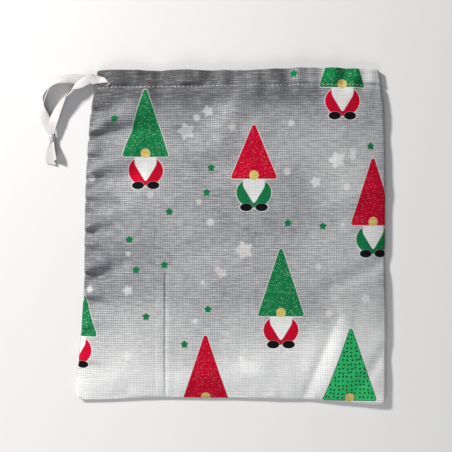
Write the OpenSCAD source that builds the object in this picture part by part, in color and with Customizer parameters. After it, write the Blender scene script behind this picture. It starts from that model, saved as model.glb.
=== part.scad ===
// Drawstring gift pouch, empty and lying on its back. One printed cotton cloth
// is folded along its right side and seamed along its left side and its bottom.
// A hemmed casing runs round the mouth, and a satin ribbon runs through it: in
// at the left, round the fold and back out, with its two ends knotted together.
// Millimetres. X runs across the pouch, Y towards the mouth, Z up from the table.

/* [Pouch] */
// Width across the bottom
base_w = 187; // [170:1:210]
// Width across the mouth
mouth_w = 172; // [160:1:190]
// How far the middle of the mouth lies to the right of the middle of the bottom
mouth_shift = 5; // [0:1:8]
// Length from the bottom seam to the mouth
height = 204; // [190:1:230]
// Height of the empty pouch as it lies
loft = 10.5; // [9.5:0.5:14]
// Distance over which the front rises from an edge to its full height
rise_run = 32; // [24:1:40]
// Radius of the two bottom corners
corner_r = 6; // [3:1:10]

/* [Cloth] */
// Thickness of one layer of cloth
cloth_t = 0.5; // [0.4:0.05:0.55]
// Width of the allowances inside the seams
allowance_w = 8; // [5:1:10]
// Gap between the front and back casings where they lie together
clearance = 0.3; // [0.2:0.05:0.4]

/* [Casing] */
// Depth of the casing, from the mouth to its row of stitches
casing_d = 13; // [12:1:16]
// Room for the ribbon between the two layers of the casing
tunnel_gap = 0.8; // [0.7:0.1:1]

/* [Ribbon] */
// Width of the ribbon
ribbon_w = 6; // [5:0.5:7]
// Thickness of the ribbon
ribbon_t = 0.3; // [0.2:0.05:0.35]
// Length of the two cut ends past the knot
tail_l = 15; // [10:1:25]

/* [Stitches] */
// Length of one stitch with its gap
stitch_pitch = 2.7; // [2.4:0.1:4]
// Diameter of the sewing thread
thread_d = 0.36; // [0.3:0.02:0.4]

/* [Hidden] */
$fn = 48;

base_y = -height / 2;
top_y = height / 2;
hem_y = top_y - casing_d;
run_y = top_y - casing_d / 2;
mouth_left = mouth_shift - mouth_w / 2;
mouth_right = mouth_shift + mouth_w / 2;

// A casing is two layers of cloth with the tunnel between them.
casing_t = 2 * cloth_t + tunnel_gap;
// Thickness of the cloth turned inside along a seam.
allowance_t = 1.1;
// Heights of the front above the table, along a seam and along the folded side.
seam_h = 2 * cloth_t + allowance_t;
fold_h = 2 * casing_t + clearance;
// Distance over which an edge rises from the height of a seam to that of the fold.
edge_blend = 45;
// The turned cloth of the folded side, which swings in between the two panels.
fold_gap = 0.06;
fold_r = fold_h / 2 - cloth_t - fold_gap;
fold_inset = fold_r + 0.1;
hem_w = 2.5;

// The notch at the left end of the front casing, where the ribbon comes out.
notch_y = run_y - ribbon_w / 2 + 0.5;
notch_top_x = mouth_left + 4;
notch_low_x = mouth_left + 9;

// The ribbon's two free legs, as [x, y, z, roll]: the ribbon turns onto its
// edge to go round the bend, and lies flat again at the knot.
exit_x = mouth_left - 1.6;
turn_r = fold_h / 2 - cloth_t - tunnel_gap / 2;
front_exit_z = fold_h - cloth_t - tunnel_gap / 2;
knot_at = [-109, 60, 2.2];
back_leg = [
    [exit_x, run_y, 0.9, 0], [-84, run_y, 0.9, 0], [-87, run_y, 0.9, 0],
    [-95, 96, 0.8, 5], [-101, 95.6, 1.8, 30], [-106.5, 93.6, 2.8, 58],
    [-111, 89.6, 3.2, 75], [-113.6, 84.6, 3.3, 85], [-113.8, 79, 3, 65],
    [-113, 72.6, 1.2, 13], [-111.2, 66.6, 0.9, 4], [-109.6, 62.2, 1.1, 0]
];
front_leg = [
    [exit_x, run_y, front_exit_z, 0], [-84, run_y, front_exit_z, 0],
    [-86, run_y, front_exit_z, 0], [-92.6, 91.8, 3.3, 30], [-97.6, 88.2, 3.5, 80],
    [-101.8, 82.8, 3, 55], [-105.4, 76.4, 2.7, 25], [-107.6, 69.6, 3.3, 8],
    [-108.6, 62.2, 3.4, 0]
];

cloth_color = [0.66, 0.67, 0.69];
cloth_back_color = [0.84, 0.84, 0.85];
thread_color = [0.93, 0.93, 0.92];
ribbon_color = [0.95, 0.93, 0.91];

function lerp(a, b, t) = a + (b - a) * t;
function clamp01(t) = max(0, min(1, t));
function smooth(t) = let (c = clamp01(t)) c * c * (3 - 2 * c);
function unit(v) = v / norm(v);

// Left and right edges of the pouch at a place y, with the bottom corners rounded.
function up_side(y) = max(0, y - base_y - corner_r) / (height - corner_r);
function inset(y) =
    let (up = y - base_y)
    up >= corner_r ? 0 : corner_r - sqrt(corner_r * corner_r - pow(corner_r - up, 2));
function left_x(y) = lerp(-base_w / 2, mouth_left, up_side(y)) + inset(y);
function right_x(y) = lerp(base_w / 2, mouth_right, up_side(y)) - inset(y);

// From 0 at an edge to 1 where the front has its full height.
function roll_up(d, run) = pow(sin(90 * clamp01(d / run)), 0.8);
// Height of the front's outer face if the pouch were pressed flat.
function edge_z(x, y) =
    let (near_mouth = (y - hem_y) / edge_blend, near_fold = (x - right_x(y)) / edge_blend)
    lerp(seam_h, fold_h, smooth(1 + max(near_mouth, near_fold)));
// Height of the front panel's outer face.
function front_z(x, y) =
    let (edge = edge_z(x, y), side = min(x - left_x(y), right_x(y) - x))
    edge + (loft - edge) * roll_up(side, rise_run) * roll_up(y - base_y, rise_run);

// Stations along an edge, closer together where the front rises.
rise_steps = [0, 0.04, 0.12, 0.25, 0.42, 0.65, 1];
function stations(low, high, both_ends) =
    let (flat_to = high - (both_ends ? rise_run : 0), parts = both_ends ? 9 : 12)
    concat(
        [for (s = rise_steps) low + s * rise_run],
        [for (s = [1 : parts - 1]) lerp(low + rise_run, flat_to, s / parts)],
        both_ends ? [for (i = [6 : -1 : 0]) high - rise_steps[i] * rise_run] : [high]
    );
panel_rows = stations(base_y, hem_y, false);
function panel_columns(y) = stations(left_x(y), right_x(y), true);
// The same, short of the folded side.
function casing_columns(y) =
    let (all = panel_columns(y)) [for (i = [0 : len(all) - 3]) all[i]];
function casing_end(y) = casing_columns(y)[len(casing_columns(y)) - 1];

// A closed shell between two grids of points with the same rows and columns.
module shell(outer, inner) {
    rows = len(outer);
    cols = len(outer[0]);
    count = rows * cols;
    function at(r, c) = r * cols + c;
    rim = concat(
        [for (c = [0 : cols - 2]) [at(0, c), at(0, c + 1)]],
        [for (r = [0 : rows - 2]) [at(r, cols - 1), at(r + 1, cols - 1)]],
        [for (c = [cols - 1 : -1 : 1]) [at(rows - 1, c), at(rows - 1, c - 1)]],
        [for (r = [rows - 1 : -1 : 1]) [at(r, 0), at(r - 1, 0)]]
    );
    cells = [for (r = [0 : rows - 2], c = [0 : cols - 2])
        [at(r, c), at(r + 1, c), at(r + 1, c + 1), at(r, c + 1)]];
    polyhedron(
        points = concat([for (r = outer) each r], [for (r = inner) each r]),
        faces = concat(
            [for (q = cells) [q[0], q[1], q[2]]],
            [for (q = cells) [q[0], q[2], q[3]]],
            [for (q = cells) [q[2] + count, q[1] + count, q[0] + count]],
            [for (q = cells) [q[3] + count, q[2] + count, q[0] + count]],
            [for (e = rim) [e[0], e[1], e[1] + count]],
            [for (e = rim) [e[0], e[1] + count, e[0] + count]]
        )
    );
}

// A flat ribbon swept along points [x, y, z, roll].
function side_of(dir, roll) =
    let (flat = unit(cross([0, 0, 1], dir)), up = cross(dir, flat))
    flat * cos(roll) + up * sin(roll);
function section(at, dir, roll) =
    let (
        side = side_of(dir, roll),
        up = cross(dir, side),
        w = ribbon_w / 2,
        t = ribbon_t / 2
    )
    [for (k = [[w, -t / 2], [w, t / 2], [w - t, t], [t - w, t],
               [-w, t / 2], [-w, -t / 2], [t - w, -t], [w - t, -t]])
        at + side * k[0] + up * k[1]];
function spline(a, b, c, d, t) =
    b + (c - a) * (t / 2) + (2 * a - 5 * b + 4 * c - d) * (t * t / 2)
    + (3 * b - a - 3 * c + d) * (t * t * t / 2);
function smoothed(route, parts) =
    let (end = len(route) - 1)
    concat(
        [for (i = [0 : end - 1], k = [0 : parts - 1])
            spline(route[max(i - 1, 0)], route[i], route[i + 1],
                   route[min(i + 2, end)], k / parts)],
        [route[end]]
    );
module ribbon_along(turns) {
    route = smoothed(turns, 3);
    last = len(route) - 1;
    function place(i) = [route[i][0], route[i][1], route[i][2]];
    rings = [for (i = [0 : last])
        section(place(i), unit(place(min(i + 1, last)) - place(max(i - 1, 0))), route[i][3])];
    sides = len(rings[0]);
    polyhedron(
        points = [for (r = rings) each r],
        faces = concat(
            [[for (k = [sides - 1 : -1 : 0]) k]],
            [[for (k = [0 : sides - 1]) last * sides + k]],
            [for (i = [0 : last - 1], k = [0 : sides - 1])
                let (a = i * sides + k, b = i * sides + (k + 1) % sides)
                [a, b, b + sides]],
            [for (i = [0 : last - 1], k = [0 : sides - 1])
                let (a = i * sides + k, b = i * sides + (k + 1) % sides)
                [a, b + sides, a + sides]]
        )
    );
}

// A straight round rod from a to b.
module rod(a, b, d) {
    v = b - a;
    translate(a)
        rotate([0, acos(v[2] / norm(v)), atan2(v[1], v[0])])
            cylinder(h = norm(v), d = d, $fn = 16);
}

// Draws a profile of X and Z, and carries it along Y from y0 to y1.
module along_y(y0, y1) {
    translate([0, y1, 0]) rotate([90, 0, 0]) linear_extrude(y1 - y0) children();
}

// Half a ring, open to the left, with its middle at the origin.
module half_ring(outer_r, inner_r) {
    intersection() {
        difference() {
            circle(r = outer_r);
            circle(r = inner_r);
        }
        translate([0, -outer_r]) square([outer_r, 2 * outer_r]);
    }
}

// Straight stitches, each between two neighbouring points of a list.
module stitch_row(points) {
    for (i = [0 : 2 : len(points) - 2]) rod(points[i], points[i + 1], thread_d);
}

// ---- the back of the pouch ----

module back_panel() {
    steps = 6;
    arc = [for (i = [0 : steps]) base_y + corner_r * (1 - cos(90 * i / steps))];
    color(cloth_color) linear_extrude(cloth_t) polygon(concat(
        [for (i = [steps : -1 : 0]) [left_x(arc[i]), arc[i]]],
        [for (y = arc) [right_x(y), y]],
        [[mouth_right, top_y], [mouth_left, top_y]]
    ));
}

// A layer of the back casing, between two places along Y.
module back_layer(y0, y1, z, thickness) {
    translate([0, 0, z]) linear_extrude(thickness) polygon([
        [left_x(y0), y0], [casing_end(y0), y0], [casing_end(y1), y1], [left_x(y1), y1]
    ]);
}

module back_lining() {
    color(cloth_back_color) back_layer(hem_y, top_y, cloth_t + tunnel_gap, cloth_t);
}

module back_mouth_edge() {
    color(cloth_color) back_layer(top_y - cloth_t, top_y, cloth_t, tunnel_gap);
}

// The raw edge of the cloth, turned under inside the casing.
module back_hem() {
    color(cloth_back_color) back_layer(hem_y, hem_y + hem_w, cloth_t, tunnel_gap);
}

stitch_l = stitch_pitch * 0.78;
stitch_y = hem_y + 0.8;
casing_stitches = floor((casing_end(hem_y) - mouth_left - 3) / stitch_pitch);
function casing_stitch_x(i, end) = mouth_left + 2 + i * stitch_pitch + end;

module back_casing_stitching() {
    color(thread_color) stitch_row([
        for (i = [0 : casing_stitches - 1], end = [0, stitch_l])
            [casing_stitch_x(i, end), stitch_y, casing_t + thread_d / 2]
    ]);
}

// The cloth turned inside along a seam fills the space between the two layers.
module seam_filling(rows) {
    upper = [for (row = rows) [for (p = row) [p[0], p[1], edge_z(p[0], p[1]) - cloth_t]]];
    lower = [for (row = rows) [for (p = row) [p[0], p[1], cloth_t]]];
    color(cloth_back_color) shell(upper, lower);
}

allowance_y = base_y + allowance_w;
module side_seam() {
    seam_filling([for (y = panel_rows) if (y > allowance_y - 0.01)
        [for (x = [0, 0.5, 1]) [left_x(y) + x * allowance_w, y]]]);
}

module bottom_seam() {
    seam_filling([for (y = panel_rows) if (y < allowance_y + 0.01)
        [for (x = panel_columns(y)) [x, y]]]);
}

// Height of a stitch that lies on the cloth turned inside a seam.
stitch_lift = 0.2;
function inner_stitch_z(x, y) = edge_z(x, y) - cloth_t + thread_d / 2 + stitch_lift;

module side_stitching() {
    count = floor((hem_y - allowance_y - 4) / stitch_pitch);
    color(thread_color) stitch_row([
        for (i = [0 : count - 1], end = [0, stitch_l])
            let (y = allowance_y + 2 + i * stitch_pitch + end, x = left_x(y) + 1.8)
            [x, y, inner_stitch_z(x, y)]
    ]);
}

module bottom_stitching() {
    side = base_w / 2 - 2 * allowance_w;
    count = floor(2 * side / stitch_pitch);
    color(thread_color) stitch_row([
        for (i = [0 : count - 1], end = [0, stitch_l])
            let (x = i * stitch_pitch + end - side, y = base_y + 1.8)
            [x, y, inner_stitch_z(x, y)]
    ]);
}

// ---- the front of the pouch ----

// A layer of the front, between two depths below its outer face.
module front_layer(rows, upper, lower) {
    function face(depth) =
        [for (row = rows) [for (p = row) [p[0], p[1], front_z(p[0], p[1]) - depth]]];
    shell(face(upper), face(lower));
}
function casing_rows(y0, y1) =
    [for (y = [y0, y1]) [for (x = casing_columns(y)) [x, y]]];

// What is cut away at the left end of the casing.
module exit_notch() {
    linear_extrude(loft + 1) polygon([
        [mouth_left - 1, top_y + 1], [notch_top_x, top_y + 1],
        [notch_low_x, notch_y], [mouth_left - 1, notch_y]
    ]);
}

module front_panel() {
    rows = concat(panel_rows, [top_y]);
    color(cloth_color) difference() {
        front_layer([for (y = rows) [for (x = panel_columns(y)) [x, y]]], 0, cloth_t);
        exit_notch();
    }
}

module front_lining() {
    color(cloth_back_color)
        front_layer(casing_rows(hem_y, top_y), cloth_t + tunnel_gap, casing_t);
}

module front_mouth_edge() {
    color(cloth_color) difference() {
        front_layer(casing_rows(top_y - cloth_t, top_y), cloth_t, cloth_t + tunnel_gap);
        exit_notch();
    }
}

module front_hem() {
    color(cloth_back_color)
        front_layer(casing_rows(hem_y, hem_y + hem_w), cloth_t, cloth_t + tunnel_gap);
}

module front_casing_stitching() {
    color(thread_color) stitch_row([
        for (i = [0 : casing_stitches - 1], end = [0, stitch_l])
            let (x = casing_stitch_x(i, end))
            [x, stitch_y, front_z(x, stitch_y) + thread_d / 2 + 0.06]
    ]);
}

// A cut end of sewing thread that lies on the casing beside the notch.
module thread_tail() {
    from = [notch_low_x, notch_y - 0.2, front_z(notch_low_x, notch_y) + thread_d];
    to = from + [-2.4, -2.2, -0.6];
    color(thread_color) rod(from, to, thread_d);
}

// ---- the folded side, which swings in as the mouth is gathered ----

fold_foot = allowance_y + 1;
fold_lean = atan((right_x(fold_foot) - mouth_right) / (top_y - fold_foot));
// Places the end of a turned strip at a place along the folded side.
module at_fold(y, inset) {
    translate([right_x(y) - inset, y, fold_h / 2]) rotate([0, 0, fold_lean]) children();
}

module side_fold() {
    color(cloth_color) at_fold(fold_foot, fold_inset)
        along_y(0, top_y - fold_foot - 0.5) half_ring(fold_r, fold_r - cloth_t);
}

run_low = run_y - ribbon_w / 2;
run_high = run_y + ribbon_w / 2;
turn_inset = fold_inset + 1;
module ribbon_turn() {
    color(ribbon_color) at_fold(run_low, turn_inset)
        along_y(0, ribbon_w) half_ring(turn_r + ribbon_t / 2, turn_r - ribbon_t / 2);
}

// ---- the ribbon ----

run_end_x = right_x(run_y) - turn_inset - 0.12;

module ribbon_back_run() {
    color(ribbon_color)
        translate([exit_x, run_low, fold_h / 2 - turn_r - ribbon_t / 2])
            cube([run_end_x - exit_x, ribbon_w, ribbon_t]);
}

// The front run follows the casing, and comes down to the turn at its far end.
module ribbon_front_run() {
    middle = cloth_t + tunnel_gap / 2;
    function run_z(x) = front_z(x, run_y) - middle;
    places = concat(
        [[exit_x, front_exit_z]],
        [for (x = casing_columns(run_y)) [x, run_z(x)]],
        [[run_end_x, fold_h / 2 + turn_r]]
    );
    function face(lift) =
        [for (y = [run_low, run_high]) [for (p = places) [p[0], y, p[1] + lift]]];
    color(ribbon_color) shell(face(ribbon_t / 2), face(-ribbon_t / 2));
}

module ribbon_back_leg() {
    color(ribbon_color) ribbon_along(back_leg);
}

module ribbon_front_leg() {
    color(ribbon_color) ribbon_along(front_leg);
}

// An overhand knot: the ribbon's two ends bunched, with a turn wrapped round them.
module ribbon_knot() {
    core_r = 1.7;
    wrap_r = 0.75;
    color(ribbon_color) translate(knot_at) {
        sphere(r = core_r);
        rotate([90, 0, 20]) rotate_extrude() translate([core_r - 0.3, 0]) circle(r = wrap_r);
        rotate([70, 30, 0]) rotate_extrude() translate([core_r - 0.5, 0]) circle(r = wrap_r);
    }
}

// The two cut ends, trimmed on a slant.
module tail(angle, z) {
    translate([knot_at[0], knot_at[1] - 1.9, z]) rotate([0, 0, angle])
        linear_extrude(ribbon_t) polygon([
            [-1, 0], [1, 0], [ribbon_w / 2, -tail_l * 0.45],
            [ribbon_w / 2, -tail_l], [-ribbon_w / 2, -tail_l + 3],
            [-ribbon_w / 2, -tail_l * 0.45]
        ]);
}
module ribbon_tails() {
    color(ribbon_color) {
        tail(-8, 0.9);
        tail(9, 1.6);
    }
}

back_panel();
back_lining();
back_mouth_edge();
back_hem();
back_casing_stitching();
side_seam();
side_stitching();
bottom_seam();
bottom_stitching();
front_panel();
front_lining();
front_mouth_edge();
front_hem();
front_casing_stitching();
thread_tail();
side_fold();
ribbon_turn();
ribbon_back_run();
ribbon_front_run();
ribbon_back_leg();
ribbon_front_leg();
ribbon_knot();
ribbon_tails();
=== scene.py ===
import bpy
import math
import numpy as np
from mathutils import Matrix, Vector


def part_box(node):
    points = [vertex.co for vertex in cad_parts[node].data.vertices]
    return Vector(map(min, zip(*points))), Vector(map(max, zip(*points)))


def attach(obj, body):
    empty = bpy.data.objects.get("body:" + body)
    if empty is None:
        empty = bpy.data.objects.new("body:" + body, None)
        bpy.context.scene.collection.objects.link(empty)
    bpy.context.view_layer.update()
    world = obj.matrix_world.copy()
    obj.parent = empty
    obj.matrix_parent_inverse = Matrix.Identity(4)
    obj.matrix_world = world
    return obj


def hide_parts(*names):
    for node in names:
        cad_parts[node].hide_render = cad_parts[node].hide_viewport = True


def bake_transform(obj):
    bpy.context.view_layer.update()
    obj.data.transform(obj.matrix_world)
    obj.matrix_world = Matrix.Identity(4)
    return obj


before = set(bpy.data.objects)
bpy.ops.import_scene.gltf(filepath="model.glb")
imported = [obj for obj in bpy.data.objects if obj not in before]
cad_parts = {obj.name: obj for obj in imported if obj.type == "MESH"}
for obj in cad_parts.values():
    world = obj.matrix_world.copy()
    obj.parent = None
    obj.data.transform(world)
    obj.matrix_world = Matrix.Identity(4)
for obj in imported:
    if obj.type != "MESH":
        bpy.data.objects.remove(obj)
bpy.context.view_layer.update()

# Shapes are worked out in millimetres and turned into metres when a mesh is made.
MM = 0.001

# ---- camera, lights and floor ----

cam_data = bpy.data.cameras.new("camera")
cam_data.lens, cam_data.sensor_width = 60, 36
camera = bpy.data.objects.new("camera", cam_data)
bpy.context.collection.objects.link(camera)
camera.location = (-3.1 * MM, 6.6 * MM, 0.460)
bpy.context.scene.camera = camera
bpy.context.scene.view_settings.view_transform = "Standard"


def area_light(name, power, size, place, target, colour=(1, 1, 1)):
    data = bpy.data.lights.new(name, "AREA")
    data.energy, data.size, data.color = power, size, colour
    lamp = bpy.data.objects.new(name, data)
    bpy.context.collection.objects.link(lamp)
    lamp.location = place
    aim = np.array(target, float) - np.array(place, float)
    aim /= np.linalg.norm(aim)
    lamp.rotation_euler = (math.acos(-aim[2]), 0, math.atan2(-aim[0], aim[1]))


area_light("key", 16.5, 0.13, (-0.74, 0.58, 0.58), (0, 0, 0), (1, 0.985, 0.96))
area_light("fill", 1.7, 0.4, (-0.12, -0.50, 0.50), (0, -0.12, 0), (0.97, 0.98, 1))
world = bpy.data.worlds.new("studio")
world.use_nodes = True
world.node_tree.nodes["Background"].inputs["Color"].default_value = (0.9, 0.93, 1, 1)
world.node_tree.nodes["Background"].inputs["Strength"].default_value = 0.24
bpy.context.scene.world = world

# ---- materials ----


class Nodes:
    """Short calls for building one material's node tree."""

    def __init__(self, name, roughness, sheen=0.0):
        self.material = bpy.data.materials.new(name)
        self.material.use_nodes = True
        self.tree = self.material.node_tree
        self.shader = self.tree.nodes["Principled BSDF"]
        self.shader.inputs["Roughness"].default_value = roughness
        self.shader.inputs["Sheen Weight"].default_value = sheen
        self.shader.inputs["Sheen Roughness"].default_value = 0.5
        self.shader.inputs["Specular IOR Level"].default_value = 0.2

    def add(self, kind, **inputs):
        node = self.tree.nodes.new(kind)
        for key, value in inputs.items():
            self.feed(node.inputs[int(key[1:]) if key[0] == "_" else key.replace("_", " ")], value)
        return node

    def feed(self, socket, value):
        if isinstance(value, bpy.types.NodeSocket):
            self.tree.links.new(value, socket)
        else:
            socket.default_value = value

    def maths(self, kind, a, b=0.0):
        node = self.add("ShaderNodeMath", _0=a, _1=b)
        node.operation = kind
        return node.outputs[0]

    def ramp(self, value, low, high, to_low=0.0, to_high=1.0, smooth=True):
        node = self.add("ShaderNodeMapRange", _0=value, _1=low, _2=high, _3=to_low, _4=to_high)
        node.interpolation_type = "SMOOTHSTEP" if smooth else "LINEAR"
        return node.outputs[0]

    def mix(self, factor, a, b):
        node = self.tree.nodes.new("ShaderNodeMix")
        node.data_type = "RGBA"
        self.feed(node.inputs[0], factor)
        self.feed(node.inputs[6], a)
        self.feed(node.inputs[7], b)
        return node.outputs[2]

    def scaled(self, source, x, y, z=1.0):
        node = self.add("ShaderNodeMapping", Vector=source)
        node.inputs["Scale"].default_value = (x, y, z)
        return node.outputs[0]

    def noise(self, source, scale, detail=2.0, distortion=0.0):
        return self.add("ShaderNodeTexNoise", Vector=source, Scale=scale, Detail=detail,
                        Distortion=distortion).outputs[0]

    def field(self, name):
        """The three parts of one of the cloth's vector attributes."""
        node = self.add("ShaderNodeAttribute")
        node.attribute_name = name
        return self.add("ShaderNodeSeparateXYZ", Vector=node.outputs["Vector"]).outputs

    def inside(self, distance, soft=0.22):
        """1 inside a printed shape and 0 outside it. soft is its blurred edge in mm."""
        return self.ramp(distance, soft, -soft)

    def cells(self, source, scale, randomness=1.0):
        """Flat Voronoi cells, for specks and dots."""
        node = self.add("ShaderNodeTexVoronoi", Vector=self.scaled(source, scale, scale), Scale=1.0,
                        Randomness=randomness)
        node.voronoi_dimensions = "2D"
        return node.outputs

    def bump(self, height, distance, strength):
        return self.add("ShaderNodeBump", Height=height, Distance=distance, Strength=strength).outputs[0]

    def finish(self, colour, normal=None):
        self.feed(self.shader.inputs["Base Color"], colour)
        if normal is not None:
            self.feed(self.shader.inputs["Normal"], normal)
        return self.material


def linen(n, uv):
    """Uneven threads across and along the cloth. uv is in centimetres. Gives tone, grid and height."""
    across = n.noise(n.scaled(uv, 1.7, 14), 1.0, 2.0, 0.1)
    along = n.noise(n.scaled(uv, 14, 1.7), 1.0, 2.0, 0.1)
    slub = n.noise(n.scaled(uv, 0.7, 7), 1.0, 2.0, 0.1)
    tone = n.maths("ADD", n.maths("MULTIPLY", across, 0.5), n.maths("MULTIPLY", along, 0.25))
    tone = n.maths("ADD", tone, n.maths("MULTIPLY", slub, 0.25))
    split = n.add("ShaderNodeSeparateXYZ", Vector=uv)

    def threads(pitch):
        warp = n.maths("SINE", n.maths("MULTIPLY", split.outputs[0], math.tau / pitch))
        weft = n.maths("SINE", n.maths("MULTIPLY", split.outputs[1], math.tau / pitch))
        return n.maths("MULTIPLY", n.maths("ADD", warp, n.maths("MULTIPLY", weft, 1.4)), 0.42)

    # The printed grid is 1.35 mm wide, and the cloth's own plain weave is half of that.
    grid, weave = threads(0.135), threads(0.0675)
    uneven = n.maths("ADD", tone, n.maths("MULTIPLY", grid, 0.12))
    height = n.maths("ADD", n.maths("MULTIPLY", weave, 0.25), uneven)
    return tone, grid, height


def print_ground_and_painted_light(n, uv, tone, grid, level_with_painted_light, faint):
    """The grey ground with its woven look, its clouds, and the faint stars and snow dots. Its level brings
    painted light and shade, and where it is lowest the ground is painted darker still.
    """
    clouds = n.noise(n.scaled(uv, 0.16, 0.22), 1.0, 2.0)
    pale = n.maths("ADD", level_with_painted_light, n.ramp(clouds, 0.3, 0.75, -0.10, 0.14, False))
    ground = n.mix(pale, (0.285, 0.292, 0.31, 1), (0.86, 0.86, 0.845, 1))
    # Painted shade: where the level is lowest, on and below the casing, the ground goes darker still.
    ground = n.mix(n.ramp(pale, 0.05, -0.40, 0.0, 0.8, False), ground, (0.06, 0.057, 0.056, 1))
    # The dark threads and the grid's lines are weaker where the ground is palest.
    depth = n.ramp(pale, 0.25, 0.95, 1.0, 0.35, False)
    dark = n.maths("MULTIPLY", n.ramp(tone, 0.54, 0.38, 0.0, 0.42, False), depth)
    ground = n.mix(dark, ground, (0.06, 0.063, 0.075, 1))
    ground = n.mix(n.ramp(tone, 0.50, 0.66, 0.0, 0.27, False), ground, (0.88, 0.88, 0.88, 1))
    lines = n.maths("MULTIPLY", n.ramp(grid, 0.5, -0.8, 0.0, 0.66, False), depth)
    ground = n.mix(lines, ground, (0.06, 0.06, 0.07, 1))
    # A few of the faint stars and dots are pinkish.
    tint = n.ramp(n.noise(n.scaled(uv, 0.25, 0.25), 1.0, 0.0), 0.56, 0.64)
    snow = n.mix(tint, (0.92, 0.92, 0.90, 1), (0.88, 0.79, 0.76, 1))
    return n.mix(n.maths("MULTIPLY", n.inside(faint, 0.8), 0.40), ground, snow)


def printed_cotton():
    n = Nodes("printed_cotton", 0.9)
    n.shader.inputs["Specular IOR Level"].default_value = 0.08
    uv = n.add("ShaderNodeUVMap").outputs[0]
    tone, grid, height = linen(n, uv)
    in_green, in_red, in_dark = n.field("print_inks")
    in_pale, in_nose, in_faint = n.field("print_pale")
    # The ground's level carries painted light and shade as well as the print's tone.
    level_with_painted_light, in_glitter, in_spots = n.field("print_ground_and_painted_light")
    ground = print_ground_and_painted_light(n, uv, tone, grid, level_with_painted_light, in_faint)
    inks = n.mix(n.maths("MULTIPLY", n.inside(in_pale), 0.75), ground, (0.82, 0.82, 0.80, 1))

    # Specks of glitter printed on the hats.
    glitter = n.cells(uv, 11.0)
    pick = n.add("ShaderNodeSeparateXYZ", Vector=glitter["Color"]).outputs[0]
    speck = n.maths("MULTIPLY", n.ramp(glitter["Distance"], 0.40, 0.14), n.ramp(pick, 0.62, 0.98))
    speck = n.maths("MULTIPLY", n.inside(in_glitter), speck)
    uneven = n.ramp(tone, 0.35, 0.75, 0.0, 1.0, False)
    red = n.mix(uneven, (0.42, 0.0005, 0.016, 1), (0.60, 0.002, 0.034, 1))
    red = n.mix(n.maths("MULTIPLY", speck, 0.45), red, (0.80, 0.30, 0.34, 1))
    green = n.mix(uneven, (0.004, 0.125, 0.038, 1), (0.010, 0.235, 0.078, 1))
    green = n.mix(n.maths("MULTIPLY", speck, 0.6), green, (0.46, 0.80, 0.52, 1))
    # The dotted hat is a brighter green, with plain dark dots.
    green = n.mix(n.inside(in_spots), green, (0.030, 0.47, 0.145, 1))
    inks = n.mix(n.inside(in_red), inks, red)
    inks = n.mix(n.inside(in_green), inks, green)
    dot = n.ramp(n.cells(uv, 3.9, 0.4)["Distance"], 0.27, 0.17)
    inks = n.mix(n.maths("MULTIPLY", n.inside(in_spots), dot), inks, (0.008, 0.016, 0.008, 1))
    ochre = n.mix(n.ramp(tone, 0.4, 0.7), (0.56, 0.41, 0.10, 1), (0.76, 0.64, 0.24, 1))
    inks = n.mix(n.inside(in_nose), inks, ochre)
    inks = n.mix(n.inside(in_dark), inks, (0.005, 0.004, 0.006, 1))
    # The grid stays faintly visible through the inks.
    inks = n.mix(n.ramp(grid, 0.0, -1.0, 0.0, 0.16, False), inks, (0.02, 0.02, 0.024, 1))
    return n.finish(inks, n.bump(height, 0.00034, 0.85))


def plain_cotton():
    n = Nodes("cotton_reverse", 0.9, 0.04)
    uv = n.add("ShaderNodeUVMap").outputs[0]
    tone, grid, height = linen(n, uv)
    colour = n.mix(n.ramp(tone, 0.35, 0.75, 0.0, 1.0, False), (0.46, 0.47, 0.49, 1), (0.74, 0.74, 0.75, 1))
    colour = n.mix(n.ramp(grid, 0.2, -1.0, 0.0, 0.2, False), colour, (0.2, 0.2, 0.22, 1))
    return n.finish(colour, n.bump(height, 0.0003, 0.8))


def satin():
    """Long floating threads along the ribbon, with a broad sheen across them."""
    n = Nodes("satin_ribbon", 0.44, 0.1)
    n.shader.inputs["Anisotropic"].default_value = 0.6
    n.shader.inputs["Specular IOR Level"].default_value = 0.3
    uv = n.add("ShaderNodeUVMap").outputs[0]
    threads = n.noise(n.scaled(uv, 1.2, 60), 1.0, 2.0)
    soft = n.noise(n.scaled(uv, 2.2, 3.0), 1.0, 2.0)
    colour = n.mix(threads, (0.45, 0.42, 0.415, 1), (0.58, 0.555, 0.55, 1))
    colour = n.mix(n.ramp(soft, 0.35, 0.7, 0.0, 0.35), colour, (0.66, 0.65, 0.66, 1))
    split = n.add("ShaderNodeSeparateXYZ", Vector=uv).outputs
    # The woven selvedge is closer and duller than the middle.
    edge = n.ramp(n.maths("ABSOLUTE", n.maths("SUBTRACT", split[1], 0.3)), 0.24, 0.28)
    colour = n.mix(n.maths("MULTIPLY", edge, 0.4), colour, (0.38, 0.355, 0.35, 1))
    height = n.maths("ADD", n.maths("MULTIPLY", threads, 0.6), n.maths("MULTIPLY", soft, 0.6))
    return n.finish(colour, n.bump(height, 0.00012, 0.7))


def thread():
    """Two plies twisted round each other."""
    n = Nodes("sewing_thread", 0.7, 0.4)
    uv = n.add("ShaderNodeUVMap").outputs[0]
    split = n.add("ShaderNodeSeparateXYZ", Vector=uv).outputs
    wound = n.maths("ADD", n.maths("MULTIPLY", split[0], 90.0), n.maths("MULTIPLY", split[1], 6.3))
    twist = n.maths("SINE", wound)
    fuzz = n.noise(n.scaled(uv, 40, 6), 1.0, 2.0)
    # The grooves between the plies are painted darker and their crowns lighter: painted shade and painted
    # light.
    colour = n.mix(n.ramp(twist, -1.0, 1.0), (0.34, 0.34, 0.335, 1), (0.66, 0.66, 0.65, 1))
    colour = n.mix(n.ramp(fuzz, 0.4, 0.7, 0.0, 0.3), colour, (0.74, 0.74, 0.74, 1))
    return n.finish(colour, n.bump(twist, 0.00005, 0.7))


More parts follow.
